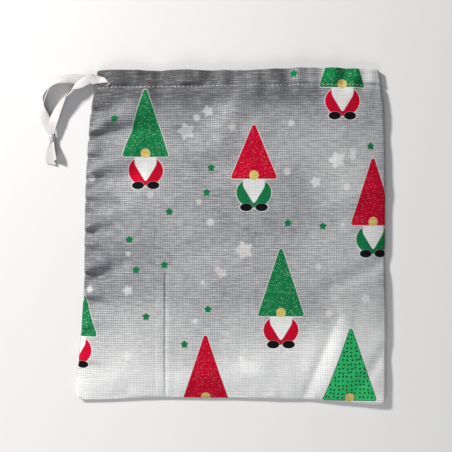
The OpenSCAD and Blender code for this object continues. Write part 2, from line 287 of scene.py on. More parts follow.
def floor_paper():
    n = Nodes("floor", 0.85)
    place = n.add("ShaderNodeTexCoord").outputs["Object"]
    grain = n.noise(place, 900.0, 2.0)
    colour = n.mix(grain, (0.70, 0.69, 0.68, 1), (0.74, 0.73, 0.72, 1))
    return n.finish(colour)


PRINTED, PLAIN, SATIN, THREAD = printed_cotton(), plain_cotton(), satin(), thread()

# ---- meshes ----


def make_mesh(name, points, faces, uvs, material, fields=None):
    """points in mm, uvs per point in mm. The uv map is in centimetres."""
    mesh = bpy.data.meshes.new(name)
    mesh.from_pydata((np.asarray(points) * MM).tolist(), [], [list(map(int, f)) for f in faces])
    mesh.polygons.foreach_set("use_smooth", [True] * len(mesh.polygons))
    which = np.zeros(len(mesh.loops), np.int32)
    mesh.loops.foreach_get("vertex_index", which)
    layer = mesh.uv_layers.new(name="flat")
    layer.data.foreach_set("uv", (np.asarray(uvs, np.float32)[which] * 0.1).ravel())
    for key, values in (fields or {}).items():
        made = mesh.attributes.new(key, "FLOAT_VECTOR", "POINT")
        made.data.foreach_set("vector", np.asarray(values, np.float32).ravel())
    mesh.materials.append(material)
    mesh.validate()
    obj = bpy.data.objects.new(name, mesh)
    bpy.context.collection.objects.link(obj)
    return obj


def grid_faces(rows, cols, flip=False, wrap=False):
    faces = []
    across = cols if wrap else cols - 1
    for r in range(rows - 1):
        for c in range(across):
            a, b = r * cols + c, r * cols + (c + 1) % cols
            quad = (a, b, b + cols, a + cols)
            faces.append(quad[::-1] if flip else quad)
    return faces


def catmull(route, parts):
    route = np.asarray(route, float)
    out, end = [], len(route) - 1
    for i in range(end):
        a, b = route[max(i - 1, 0)], route[i]
        c, d = route[i + 1], route[min(i + 2, end)]
        for t in np.arange(parts) / parts:
            out.append(b + (c - a) * (t / 2) + (2 * a - 5 * b + 4 * c - d) * (t * t / 2)
                       + (3 * b - a - 3 * c + d) * (t ** 3 / 2))
    out.append(route[end])
    return np.array(out)


RIBBON_W, RIBBON_T = 6.0, 0.3


def ribbon_mesh(name, stations, width=None, cut=0.0, cup=0.0, parts_across=10):
    """A satin ribbon along stations [x, y, z, roll]. cut slants its last end, cup curls its edges."""
    places, rolls = stations[:, :3], np.radians(stations[:, 3])
    run = np.gradient(places, axis=0)
    run /= np.linalg.norm(run, axis=1, keepdims=True)
    flat = np.cross([0.0, 0.0, 1.0], run)
    flat /= np.linalg.norm(flat, axis=1, keepdims=True)
    up = np.cross(run, flat)
    side = flat * np.cos(rolls)[:, None] + up * np.sin(rolls)[:, None]
    face = np.cross(run, side)
    length = np.concatenate([[0], np.cumsum(np.linalg.norm(np.diff(places, axis=0), axis=1))])
    widths = np.full(len(places), RIBBON_W) if width is None else np.asarray(width, float)
    k = np.linspace(-1, 1, parts_across + 1)
    thick = RIBBON_T / 2 * np.sqrt(np.clip(1 - np.abs(k) ** 8, 0.04, 1))
    loop_k = np.concatenate([k, k[::-1]])
    loop_t = np.concatenate([thick, -thick])
    points, uvs = [], []
    for i in range(len(places)):
        slant = cut * max(0.0, (i - len(places) + 5) / 4.0) * loop_k
        points.append(places[i] + side[i] * (loop_k * widths[i] / 2)[:, None]
                      + face[i] * (loop_t + cup * (loop_k ** 2))[:, None] + run[i] * slant[:, None])
        uvs.append(np.stack([np.full(len(loop_k), length[i]), (loop_k + 1) * RIBBON_W / 2], 1))
    cols = len(loop_k)
    faces = grid_faces(len(places), cols, wrap=True)
    half = cols // 2
    for base, turned in ((0, True), ((len(places) - 1) * cols, False)):
        for c in range(half - 1):
            quad = (base + c, base + c + 1, base + cols - 2 - c, base + cols - 1 - c)
            faces.append(quad if turned else quad[::-1])
    return make_mesh(name, np.concatenate(points), faces, np.concatenate(uvs), SATIN)


# ---- the ribbon's free legs: cords ----

RUN_Y = 95.5
EXIT_X = -82.6
BACK_LEG = [
    (EXIT_X, RUN_Y, 0.9, 0), (-84, RUN_Y, 0.9, 0), (-87, RUN_Y, 0.9, 0),
    (-95, 96, 0.8, 5), (-101, 95.6, 1.8, 30), (-106.5, 93.6, 2.8, 58),
    (-111, 89.6, 3.2, 75), (-113.6, 84.6, 3.3, 85), (-113.8, 79, 3, 65),
    (-113, 72.6, 1.2, 13), (-111.2, 66.6, 0.9, 4), (-109.6, 62.2, 1.1, 0),
]
FRONT_LEG = [
    (EXIT_X, RUN_Y, 3.0, 0), (-84, RUN_Y, 3.0, 0), (-86, RUN_Y, 3.0, 0),
    (-92.6, 91.8, 3.3, 30), (-97.6, 88.2, 3.5, 80), (-101.8, 82.8, 3, 55),
    (-105.4, 76.4, 2.7, 25), (-107.6, 69.6, 3.3, 8), (-108.6, 62.2, 3.4, 0),
]
KNOT = np.array([-109.0, 60.0, 2.2])


def leg(name, route):
    stations = catmull(route, 7)
    # The last few millimetres are drawn together into the knot.
    away = np.linalg.norm(stations[:, :3] - stations[-1, :3], axis=1)
    width = RIBBON_W * (0.42 + 0.58 * np.clip(away / 9.0, 0, 1) ** 0.8)
    made = ribbon_mesh(name, stations, width, cup=0.12)
    length = float(np.linalg.norm(np.diff(stations[:, :3], axis=0), axis=1).sum())
    return made, stations[:, :3] * MM, length * MM


back_leg, back_path, back_len = leg("ribbon_back_leg_satin", BACK_LEG)
front_leg, front_path, front_len = leg("ribbon_front_leg_satin", FRONT_LEG)


def round_tube(path, radius, sides=10, closed=False, squash=1.0, ridges=0.0):
    """Points, faces and uvs of a tube. squash flattens it, ridges folds its skin lengthwise."""
    path = np.asarray(path, float)
    n = len(path)
    run = (np.roll(path, -1, 0) - np.roll(path, 1, 0)) if closed else np.gradient(path, axis=0)
    run /= np.linalg.norm(run, axis=1, keepdims=True)
    normal = np.cross(run[0], [0.0, 0.0, 1.0])
    if np.linalg.norm(normal) < 1e-3:
        normal = np.cross(run[0], [0.0, 1.0, 0.0])
    radius = np.broadcast_to(np.asarray(radius, float), (n,))
    length = np.concatenate([[0], np.cumsum(np.linalg.norm(np.diff(path, axis=0), axis=1))])
    angle = np.arange(sides) / sides * math.tau
    wave = 1 + ridges * np.cos(5 * angle)
    points, uvs = [], []
    for i in range(n):
        normal = normal - run[i] * np.dot(normal, run[i])
        normal /= np.linalg.norm(normal)
        other = np.cross(run[i], normal)
        points.append(path[i] + radius[i] * (normal * (np.cos(angle) * wave)[:, None]
                                             + other * (np.sin(angle) * wave * squash)[:, None]))
        uvs.append(np.stack([np.full(sides, length[i]), angle], 1))
    faces = grid_faces(n, sides, wrap=True)
    if closed:
        last = (n - 1) * sides
        faces += [(last + k, last + (k + 1) % sides, (k + 1) % sides, k) for k in range(sides)]
    else:
        faces += [tuple(range(sides))[::-1], tuple((n - 1) * sides + k for k in range(sides))]
    return np.concatenate(points), faces, np.concatenate(uvs)


def joined(parts):
    points, faces, uvs, start = [], [], [], 0
    for p, f, uv in parts:
        points.append(p)
        uvs.append(uv)
        faces += [tuple(i + start for i in face) for face in f]
        start += len(p)
    return np.concatenate(points), faces, np.concatenate(uvs)


# An overhand knot of the two bunched ends: one rope-like turn passing through itself.
turn = np.linspace(0, math.tau, 72, endpoint=False)
knot_line = np.stack([
    np.sin(turn) + 2 * np.sin(2 * turn),
    (np.cos(turn) - 2 * np.cos(2 * turn)) * 1.05,
    -np.sin(3 * turn) * 1.0,
], 1) * np.array([0.50, 0.50, 0.82]) + KNOT + np.array([0, 0, -0.1])
core_line = KNOT + np.array([(0.1, 2.6, -0.1), (0, 1.2, 0), (0, 0, 0), (0, -1.2, -0.1), (0, -2.5, -0.6)])
core = round_tube(core_line, [0.9, 1.35, 1.5, 1.3, 0.9], 14, ridges=0.08)
wrap = round_tube(knot_line, 0.74, 14, closed=True, squash=0.8, ridges=0.09)
knot = make_mesh("ribbon_knot_satin", *joined([wrap, core]), SATIN)

# Its two cut ends: one lies flat, the other has turned onto its edge.
wide_tail = catmull([
    (-109.1, 58.2, 1.5, 0), (-109.6, 55, 1.0, 4), (-110.2, 51, 0.7, 5),
    (-110.1, 47, 0.6, 3), (-109.6, 44.2, 0.7, 6),
], 5)
narrow_tail = catmull([
    (-108.7, 58.2, 2.2, 20), (-108.0, 55.2, 2.4, 52), (-107.2, 51.6, 2.7, 66),
    (-106.9, 48.6, 2.6, 62), (-107.0, 46.4, 2.4, 54),
], 5)


def tail_width(stations):
    away = np.linalg.norm(stations[:, :3] - stations[0, :3], axis=1)
    return RIBBON_W * (0.34 + 0.66 * np.clip(away / 8.0, 0, 1) ** 0.9)


tails = [
    ribbon_mesh("ribbon_tail_wide", wide_tail, tail_width(wide_tail), cut=1.3, cup=0.15),
    ribbon_mesh("ribbon_tail_narrow", narrow_tail, tail_width(narrow_tail), cut=-1.2, cup=0.2),
]

# ---- the cloth's shape ----

CAD_LOW, CAD_HIGH = (np.array(v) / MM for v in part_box("back_panel"))
BASE_Y, TOP_Y = CAD_LOW[1], CAD_HIGH[1]
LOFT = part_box("front_panel")[1].z / MM
HEM_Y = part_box("back_hem")[0].y / MM
SEAM_H, FOLD_H, EDGE_BLEND, RISE = 2.1, 3.9, 45.0, 32.0
CASING_T = 1.8
NOTCH_Y = 93.0


def clamp01(t):
    return np.clip(t, 0.0, 1.0)


def smooth(t):
    t = clamp01(t)
    return t * t * (3 - 2 * t)


def curve(points):
    """A smooth curve through a few (place, value) pairs."""
    at, value = np.array(points, float).T
    dense = np.linspace(at[0], at[-1], 400)
    lines = np.interp(dense, at, value)
    width = 25
    window = np.hanning(2 * width + 1)
    padded = np.concatenate([np.full(width, lines[0]), lines, np.full(width, lines[-1])])
    soft = np.convolve(padded, window / window.sum(), "valid")
    return lambda t: np.interp(t, dense, soft)


# Gathers along the left seam as (y, depth, reach into the cloth).
PUCKERS = [(76, 1.0, 14), (60, 1.5, 30), (48, 0.9, 12), (34, 1.1, 16), (22, 0.8, 10), (2, 1.2, 16),
           (-8, 0.7, 9), (-24, 1.3, 15), (-39, 1.2, 14), (-58, 0.6, 9), (-78, 0.6, 10)]
left_line = curve([(-102, -94.2), (-85, -93.7), (-65, -91.7), (-29, -89.4), (1, -89.3), (34, -88.7),
                   (60, -87), (77, -85.4), (89, -83), (102, -81)])
right_line = curve([(-102, 93.6), (-54, 94), (-20, 93.3), (50, 93.5), (79, 92.8), (92, 91), (102, 89.6)])
bottom_line = curve([(-94, -99.6), (-72, -99), (-46, -97.6), (0, -98), (47, -99), (67, -100.4), (94, -102.4)])
top_line = curve([(-82, 100.9), (-67, 100.7), (0, 100.5), (17, 101), (52, 102.2), (90, 101.4)])


def left_at(y):
    x = left_line(y)
    for at, depth, _ in PUCKERS:
        x = x + 0.45 * depth * np.exp(-((y - at) / 1.6) ** 2)
    return x


def corner(up, radius):
    gone = np.clip(radius - up, 0, radius)
    return radius - np.sqrt(np.maximum(radius ** 2 - gone ** 2, 0))


def noise(x, y, size, seed):
    """Smooth value noise from -1 to 1."""
    table = np.random.default_rng(seed).random((64, 64)) * 2 - 1
    u, v = x / size + 31.7, y / size + 17.3
    i, j = np.floor(u).astype(int), np.floor(v).astype(int)
    fu, fv = smooth(u - i), smooth(v - j)
    a, b = table[i % 64, j % 64], table[(i + 1) % 64, j % 64]
    c, d = table[i % 64, (j + 1) % 64], table[(i + 1) % 64, (j + 1) % 64]
    return (a * (1 - fu) + b * fu) * (1 - fv) + (c * (1 - fu) + d * fu) * fv


def to_segment(x, y, x0, y0, x1, y1):
    """Distance from a segment."""
    dx, dy = x1 - x0, y1 - y0
    t = clamp01(((x - x0) * dx + (y - y0) * dy) / (dx * dx + dy * dy))
    return np.hypot(x - x0 - t * dx, y - y0 - t * dy)


# Soft folds as (x0, y0, x1, y1, half width, height).
FOLDS = [
    (7, 82, -14, 54, 9, 1.2), (-48, 62, -14, 58, 8, -1.7), (-6, 80, -24, 62, 7, -0.6),
    (-87, 66.5, -58, 64, 5, -1.5), (-88, 32, -60, 36, 7, -2.0), (-89, 16, -68, 19, 4, -1.2),
    (-89, -8, -66, -17, 5, -1.3), (-89, -29, -72, -20, 4, -1.2), (-88, -40, -70, -46, 5, -1.0),
    (62, -50, 46, -96, 5, -0.55), (70, -46, 56, -92, 7, 0.5), (65, -47, 44, -97, 2.0, -0.16),
    (94, -14, 60, -30, 6, -0.9), (94, -68, 78, -90, 5, -0.6), (30, 40, -30, 22, 9, 0.6),
    (60, 8, 0, -8, 9, -0.6), (-60, -20, -10, -34, 9, 0.6), (20, -78, -30, -88, 8, 0.5),
    (93, 62, 52, 70, 7, -0.5), (93, 30, 60, 20, 7, 0.5),
]


def stitch_line(x):
    return 90.1 + 1.6 * smooth((x + 80) / 165)


CREASE_LEAN = 0.006


def relief(x, y):
    """What stands above or below the panel's plain crown."""
    left = left_at(y)
    inner = smooth((x - left) / 14) * smooth((right_line(y) - x) / 14)
    z = (0.9 * noise(x, y, 52, 1) + 0.6 * noise(x, y * 1.5, 21, 2) + 0.18 * noise(x, y, 8, 3)) * inner
    for x0, y0, x1, y1, width, height in FOLDS:
        away = to_segment(x, y, x0, y0, x1, y1)
        z = z + 1.5 * height * np.exp(-(away / (0.85 * width)) ** 2)
    for k, (at, depth, reach) in enumerate(PUCKERS):
        inward = np.maximum(x - left, 0)
        away = y - at - (0.16 if k % 2 else -0.10) * inward
        wide = 1.5 + 0.17 * inward
        fade = np.exp(-inward / reach)
        ridge = 0.7 * np.exp(-((away / wide - 2.0) / 1.5) ** 2)
        valley = np.exp(-(away / wide) ** 2)
        z = z + 3.4 * depth * fade * (ridge - valley)
    # Creases pressed in by the fold in which the pouch was stored.
    for at, low, high, depth in ((-39.5, -99, -17, 0.42), (-45.5, -99, 30, 0.2)):
        fade = smooth((y - low + 4) / 4) * smooth((high - y) / 8)
        z = z - depth * fade * np.exp(-((x - at - CREASE_LEAN * (y + 60)) / 0.55) ** 2)
        z = z + 0.5 * depth * fade * np.exp(-((x - at - 2.4) / 2.2) ** 2)
    # The casing puffs up between the mouth and its stitches, and is drawn in by them.
    off = y - stitch_line(x)
    z = z - 0.95 * np.exp(-(off / 1.15) ** 2)
    z = z + 2.1 * smooth(off / 2.5) * noise(x, y * 0.35, 7.5, 5)
    z = z + 1.5 * noise(x, y * 0.25, 6.5, 6) * np.exp(-np.abs(off) / 10)
    # The bottom seam draws small puckers too.
    up = y - bottom_line(x)
    z = z + 0.8 * noise(x, y * 0.2, 6.0, 7) * np.exp(-np.maximum(up, 0) / 7) * smooth(up / 2)
    return z


def edge_height(x, y):
    near_mouth = (y - HEM_Y) / EDGE_BLEND
    near_fold = (x - right_line(y)) / EDGE_BLEND
    return SEAM_H + (FOLD_H - SEAM_H) * smooth(1 + np.maximum(near_mouth, near_fold))


def roll_up(d, run):
    return np.sin(math.pi / 2 * clamp01(d / run)) ** 0.8


def quarter(t):
    t = clamp01(t)
    return np.sqrt(np.maximum(1 - (1 - t) ** 2, 0))


def notch_left(y):
    """The left end of the front casing, cut on a slant where the ribbon comes out."""
    return -73.0 - 7.5 * clamp01((y - NOTCH_Y) / 9)


def seam_close(x, y):
    """0 on the seams along the left side and the bottom, 1 away from them."""
    rounding = edge_height(x, y) / 2
    free = smooth((y - NOTCH_Y + 1) / 1.5)
    beside = np.maximum(quarter((x - left_at(y)) / rounding), free)
    return beside * quarter((y - bottom_line(x)) / rounding)


def front_z(x, y):
    edge = edge_height(x, y)
    side = np.maximum(np.minimum(x - left_at(y), right_line(y) - x), 0)
    up = np.maximum(y - bottom_line(x), 0)
    body = edge + (LOFT - 1.2 - edge) * roll_up(side, RISE) * roll_up(up, RISE)
    body = body + relief(x, y) * smooth(side / 3.0 + 0.25) * smooth(up / 3.0 + 0.2)
    body = body - 2.0 * smooth((y - HEM_Y + 4) / 16) * roll_up(side, RISE)
    body = np.maximum(body, edge * 0.9)
    middle = edge / 2
    end = smooth((y - NOTCH_Y) / 0.5) * (1 - quarter((x - notch_left(y)) / 0.9)) * 0.6
    return middle + (body - middle) * seam_close(x, y) - end


def back_z(x, y):
    middle = edge_height(x, y) / 2
    free = smooth((y - NOTCH_Y + 1) / 1.5)
    lift = (1 - seam_close(x, y)) * middle * (1 - 0.7 * free)
    gentle = 0.14 * (noise(x, y, 30, 11) + 1) * smooth((x - left_at(y)) / 6)
    return lift + gentle * smooth((right_line(y) - x) / 14)


# ---- the print, as distances in mm from each shape (negative inside) ----


def polygon(x, y, corners, rounding):
    corners = np.array(corners, float)
    best = np.full(x.shape, 1e9)
    sign = np.ones(x.shape)
    for (x0, y0), (x1, y1) in zip(corners, np.roll(corners, -1, 0)):
        best = np.minimum(best, to_segment(x, y, x0, y0, x1, y1))
        crosses = ((y0 > y) != (y1 > y))
        with np.errstate(divide="ignore", invalid="ignore"):
            hit = x < (x1 - x0) * (y - y0) / (y1 - y0) + x0
        sign = np.where(crosses & hit, -sign, sign)
    return best * sign - rounding


def oval(x, y, cx, cy, rx, ry):
    return (np.hypot((x - cx) / rx, (y - cy) / ry) - 1) * min(rx, ry)


# Hats as (height of the tip above the feet, half width at the brim).
HATS = {"tall": (58, 12.5), "short": (50, 12.5), "dotted": (62, 15)}
BRIM_Y = 20


def figure(x, y, hat):
    """A plain figure of simple shapes: a straight pointed hat over an oval body. Feet at y = 0."""
    tip, brim = HATS[hat]
    nose = oval(x, y, 0, BRIM_Y + 1, 2.8, 2.8)
    cone = polygon(x, y, [(-brim, BRIM_Y), (0, tip), (brim, BRIM_Y)], 1.2)
    top = np.maximum(cone, -nose)
    point = polygon(x, y, [(-5.2, 14), (5.2, 14), (0, 5.5)], 1.0)
    beard = np.minimum(oval(x, y, 0, 16, 6.6, 5.4), point)
    beard = np.maximum(np.maximum(beard, -nose), -top)
    boots = np.minimum(oval(x, y, -4.6, 1.8, 3.8, 2.4), oval(x, y, 4.6, 1.8, 3.8, 2.4))
    body = np.maximum.reduce([oval(x, y, 0, 10.5, 10.5, 9), -top, -nose, -beard, -boots])
    return top, body, beard, nose, boots


# Figures as (x, y of the feet, hat, hat ink). The body has the other ink.
FIGURES = [
    (-51.3, 29.2, "tall", "green"), (13.6, 16, "short", "red"), (66.7, 71, "tall", "green"),
    (85.5, -11.8, "tall", "red"), (29.8, -66.2, "tall", "green"), (-15.4, -118, "tall", "red"),
    (71.6, -118, "dotted", "green"), (-94.7, -79, "tall", "green"),
    (132, 38, "short", "green"), (150, -66, "tall", "red"), (187, 30, "tall", "red"),
    (205, -88, "short", "green"), (238, -22, "tall", "green"), (252, 62, "short", "red"),
]
# Small green stars as (x, y), and faint ones as (x, y, size).
STARS = [(-70, 71), (37.5, 98), (84, 54.6), (-12, 41.4), (-14.7, 26.6), (-37, 15.2), (34, 8.4), (55, 6.4),
         (-61, -1.6), (-40, -16.8), (-57, -19.7), (-14, -43.3), (-51, -47.8), (-28, -64.3)]
FAINT_STARS = [(-14, 75.6, 7), (-27, 63.6, 11), (0.7, 65.4, 5.4), (63.5, 46.2, 11), (50.7, 33, 7),
               (33.5, 39.4, 5.4), (7.7, -7.8, 11.4), (-5.5, -21.6, 6.6), (-62, -32, 6.6), (81, -37, 6),
               (-62, -71.4, 6), (-59.5, -92, 7), (12.3, -80, 12), (43.7, -77.4, 9)]


def star(x, y, cx, cy, size, turn=0.0):
    radius = np.hypot(x - cx, y - cy)
    angle = (np.arctan2(y - cy, x - cx) - math.pi / 2 - turn) % (math.tau / 5) - math.pi / 5
    reach = np.abs(angle) / (math.pi / 5)
    return (radius - size / 2 * (0.60 + 0.42 * reach ** 1.3)) * 0.8


# The folded side's place on the flat cloth. The back's ground and stars mirror the front's about it.
FOLD_X = 95.0
SNOW_DOTS = 56


def nearer(field, near, distance):
    """Lower a field to a new shape's distance where that shape can reach."""
    field[near] = np.minimum(field[near], distance)


def ground_tone_and_painted_light(x, y):
    """Paler towards the bottom, painted light towards the folded side, and painted shade beside the seam,
    towards the mouth, on the casing and along the crease.
    """
    # Painted shade along the crease where the pouch was stored.
    crease_shade = np.exp(-((x + 40.1 - CREASE_LEAN * (y + 60)) / 0.5) ** 2) * smooth((-18 - y) / 6)
    x = np.minimum(x, 2 * FOLD_X - x)
    tone = 0.26 + 0.72 * smooth((-26 - y + 10 * noise(x, y, 30, 31)) / 62) + 0.10 * noise(x, y, 36, 32)
    # Painted light on the folded side, and painted shade on the seam side.
    tone = tone + (0.20 - 0.10 * smooth((y - 50) / 30)) * smooth((x - 5) / 75) - 0.30 * smooth((-56 - x) / 28)
    # Painted shade towards the mouth's end, and a paler bottom edge.
    tone = tone - 0.30 * smooth((y - 66) / 22) * smooth((84 - x) / 60) + 0.32 * smooth((-76 - y) / 18)
    # More painted shade near the mouth, most on the left.
    tone = tone - (0.20 * smooth((92 - x) / 50) + 0.16 * smooth((-35 - x) / 20)) * smooth((y - 76) / 10)
    # Painted shade on the casing: darker on its left, lighter on its right, and in bands between its puffs.
    casing = 0.20 * noise(x, y * 0.4, 6, 33) + 0.10 * smooth((20 - x) / 60) - 0.26 * smooth((x - 12) / 40)
    tone = tone - casing * smooth((y - stitch_line(x)) / 2.5)
    return tone - 0.5 * crease_shade + 0.14 * smooth((-48 - y) / 22) * smooth((x - 28) / 26)


def print_fields(x, y):
    """The three vector attributes that the printed cotton's material reads."""
    far = 3.0
    green, red, dark, pale, nose, faint, glitter, spots = (np.full(x.shape, far) for _ in range(8))
    for fx, fy, hat, ink in FIGURES:
        near = (np.abs(x - fx) < 30) & (y > fy - 12) & (y < fy + 68)
        if not near.any():
            continue
        top, body, beard, round_nose, boots = figure(x[near] - fx, y[near] - fy, hat)
        hats, bodies = (green, red) if ink == "green" else (red, green)
        nearer(hats, near, top)
        nearer(bodies, near, body)
        nearer(dark, near, boots)
        nearer(nose, near, round_nose)
        nearer(spots if hat == "dotted" else glitter, near, top + 0.5)
        outline = np.minimum(np.minimum.reduce([top, body, round_nose, boots]) - 0.3, beard)
        nearer(pale, near, outline)
    for sx, sy in STARS:
        for at in (sx, 2 * FOLD_X - sx):
            near = np.hypot(x - at, y - sy) < 6
            nearer(green, near, star(x[near], y[near], at, sy, 5.0))
    for sx, sy, size in FAINT_STARS:
        for at in (sx, 2 * FOLD_X - sx):
            near = np.hypot(x - at, y - sy) < 10
            nearer(faint, near, star(x[near], y[near], at, sy, size, 0.3))
    draws = np.random.default_rng(21)
    snow_x, snow_y = draws.uniform(-90, 280, SNOW_DOTS), draws.uniform(-98, 88, SNOW_DOTS)
    for dx, dy, radius in zip(snow_x, snow_y, draws.uniform(1.1, 2.3, SNOW_DOTS)):
        near = np.hypot(x - dx, y - dy) < 6
        nearer(faint, near, np.hypot(x[near] - dx, y[near] - dy) - radius)

    def vectors(*parts):
        return np.stack([part.ravel() for part in parts], 1)

    return {
        "print_inks": vectors(green, red, dark),
        "print_pale": vectors(pale, nose, faint),
        # The ground's level carries painted light and shade.
        "print_ground_and_painted_light": vectors(ground_tone_and_painted_light(x, y), glitter, spots),
    }


# ---- the cloth's meshes ----

STEP, BACK_STEP = 0.7, 1.2
EDGE_STEPS = np.array([0.0, 0.12, 0.4, 0.9, 1.4])
# Where the even steps start, in from a seam.
EDGE_IN = 2.0
ROLL = CASING_T / 2
# The radii of the bottom corners, beside the seam and beside the fold.
CORNERS = (5.5, 4.0)
# How far in from the fold the front's cloth goes on under the back, in steps.
UNDER = np.array([[1.5, 3.5, 6.0, 8.5]])


BODY_ROWS = int((TOP_Y - BASE_Y) / STEP)


def cloth_rows():
    """Each row as (nominal y, depth under the outer face, flat y)."""
    body = np.linspace(EDGE_IN, TOP_Y - BASE_Y - ROLL, BODY_ROWS)
    rows = [(BASE_Y + t, 0.0, BASE_Y + t) for t in np.concatenate([EDGE_STEPS, body])]
    flat = rows[-1][2]
    for angle in np.radians(np.arange(22.5, 181, 22.5)):
        rise, depth = ROLL * math.sin(angle), ROLL * (1 - math.cos(angle))
        rows.append((TOP_Y - ROLL + rise, depth, flat + ROLL * angle))
    flat = rows[-1][2]
    for down in np.linspace(1.3, TOP_Y - ROLL - HEM_Y, 9):
        rows.append((TOP_Y - ROLL - down, CASING_T, flat + down))
    return np.array(rows)


ROW_Y, ROW_DEPTH, ROW_FLAT = cloth_rows().T[:, :, None]


def row_ends():
    """Left and right ends of the rows, with the two bottom corners rounded."""
    up = ROW_Y - BASE_Y
    return left_at(ROW_Y) + corner(up, CORNERS[0]), right_line(ROW_Y) - corner(up, CORNERS[1])


def real_y(x, y0):
    """A row's place once the bottom and the mouth follow their own lines."""
    share = (y0 - BASE_Y) / (TOP_Y - BASE_Y)
    return y0 + (1 - share) * (bottom_line(x) - BASE_Y) + share * (top_line(x) - TOP_Y)


def front_grid():
    """The front, from the seam round the fold. Places, and flat x and y for the print."""
    left, right = row_ends()
    turn_r = edge_height(right, ROW_Y) / 2
    share = np.linspace(0, 1, int(180 / STEP))[None, :]
    inner = left + EDGE_IN + (right - turn_r - left - EDGE_IN) * share
    x = np.concatenate([left + EDGE_STEPS[None, :], inner], 1)
    # Above the notch the casing starts further in.
    shift = smooth((ROW_Y - NOTCH_Y) / 0.7) * np.maximum(notch_left(ROW_Y) - left, 0)
    x = x + shift * (1 - smooth((x - left) / 22))
    y = real_y(x, ROW_Y)
    z = front_z(x, y)
    fold_x, fold_y = x[:, -1:], y[:, -1:]
    top_z, low_z = z[:, -1:], back_z(fold_x, fold_y)
    angle = np.radians(np.arange(67.5, -91, -22.5))[None, :]
    arc_x = fold_x + turn_r * np.cos(angle)
    arc_z = low_z + (top_z - low_z) * (1 + np.sin(angle)) / 2
    under_x = fold_x - UNDER
    under_y = real_y(under_x, ROW_Y)
    xs = np.concatenate([x, arc_x, under_x], 1)
    ys = np.concatenate([y, np.repeat(fold_y, angle.size, 1), under_y], 1)
    zs = np.concatenate([z, arc_z, back_z(under_x, under_y)], 1)
    # Layers inside the casing lie under the outer face, towards the middle of the fold.
    ones = np.ones_like(ROW_Y)
    in_x = np.concatenate([np.zeros_like(x), -np.cos(angle) * ones, np.zeros_like(under_x)], 1)
    in_z = np.concatenate([-np.ones_like(x), -np.sin(angle) * ones, np.ones_like(under_x)], 1)
    flat_arc = fold_x + turn_r * (math.pi / 2 - angle)
    flat_x = np.concatenate([x, flat_arc, fold_x + turn_r * math.pi + UNDER], 1)
    places = np.stack([xs + in_x * ROW_DEPTH, ys, zs + in_z * ROW_DEPTH], 2)
    return places, flat_x, ys + (ROW_FLAT - ROW_Y)


def back_grid():
    """The back, from the end of the front's strip to the seam."""
    left, right = row_ends()
    turn_r = edge_height(right, ROW_Y) / 2
    start = right - turn_r - UNDER[0, -1]
    share = np.linspace(1, 0, int(170 / BACK_STEP))[None, :]
    inner = left + EDGE_IN + (start - left - EDGE_IN) * share
    x = np.concatenate([inner, left + EDGE_STEPS[None, ::-1]], 1)
    y = real_y(x, ROW_Y)
    z = back_z(x, y) + ROW_DEPTH
    flat_x = right - turn_r + turn_r * math.pi + (right - turn_r - x)
    return np.stack([x, y, z], 2), flat_x, y + (ROW_FLAT - ROW_Y)


def cloth_piece(name, grid):
    places, flat_x, flat_y = grid
    rows, cols = flat_x.shape
    uvs = np.stack([flat_x.ravel(), flat_y.ravel()], 1)
    return make_mesh(name, places.reshape(-1, 3), grid_faces(rows, cols), uvs, PRINTED,
                     print_fields(flat_x, flat_y))


FRONT, BACK = front_grid(), back_grid()
front_cloth = cloth_piece("front_cloth", FRONT)
back_cloth = cloth_piece("back_cloth", BACK)


def reverse_piece(name, grid, every, offset):
    """The unprinted side of a panel, from its bottom up to the casing's hem."""
    places, flat_x, flat_y = grid
    upto = int(np.searchsorted(ROW_Y[:BODY_ROWS, 0], HEM_Y + 1.5))
    rows = np.arange(4, upto, 3)
    cols = np.arange(4, flat_x.shape[1] - (16 if every > 1 else 4), every)
    chosen = np.ix_(rows, cols)
    # Its height is the lowest, or highest, of the outer face around each point, so that it
    # never shows through.
    pick = np.min if offset < 0 else np.max
    height = places[:, :, 2]
    spread = [np.roll(height, (i, j), (0, 1)) for i in range(-3, 4) for j in range(-every, every + 1)]
    part = places[chosen].copy()
    part[:, :, 2] = pick(spread, axis=0)[chosen] + offset
    uvs = np.stack([flat_x[chosen].ravel(), flat_y[chosen].ravel()], 1)
    return make_mesh(name, part.reshape(-1, 3), grid_faces(len(rows), len(cols), flip=True), uvs, PLAIN)


front_reverse = reverse_piece("front_reverse", FRONT, 3, -0.5)
back_reverse = reverse_piece("back_reverse", BACK, 2, 0.45)


def allowance(name, along_bottom):
    """The two raw edges of the cloth, turned inside along a seam, slightly frayed."""
    reach, seed = (84, 41) if along_bottom else (90, 51)
    run, out = np.meshgrid(np.arange(-reach, reach, 1.0), np.linspace(0.8, 8.0, 7))
    sheets = []
    for k, lift in enumerate((-0.28, 0.28)):
        ragged = 0.35 * noise(run, out * 0 + k * 40, 1.3, seed + k) * (out > 7)
        if along_bottom:
            x, y = run, bottom_line(run) + out + ragged
        else:
            x, y = left_at(run) + out + ragged, run
        low, high = back_z(x, y) + 0.55, front_z(x, y) - 0.6
        z = np.clip((low + np.minimum(high, low + 1.6)) / 2 + lift * np.minimum(1, out / 2), low, None)
        sheets.append((np.stack([x, y, z], 2).reshape(-1, 3), grid_faces(*x.shape),
                       np.stack([run.ravel(), out.ravel()], 1)))
    return make_mesh(name, *joined(sheets), PLAIN)


side_allowance = allowance("side_allowance", False)
bottom_allowance = allowance("bottom_allowance", True)

# ---- stitches ----

PITCH, THREAD_R = 2.55, 0.19
SEAM_IN, SEAM_STITCH = 1.9, 1.8


def stitch(a, b, lift):
    """One stitch, highest in its middle and sunk at both ends."""
    t = np.linspace(0, 1, 7)
    path = a + (b - a) * t[:, None] + np.outer(np.sin(t * math.pi) ** 0.7 - 0.55, lift)
    return round_tube(path, THREAD_R * (0.75 + 0.25 * np.sin(t * math.pi)), 7)


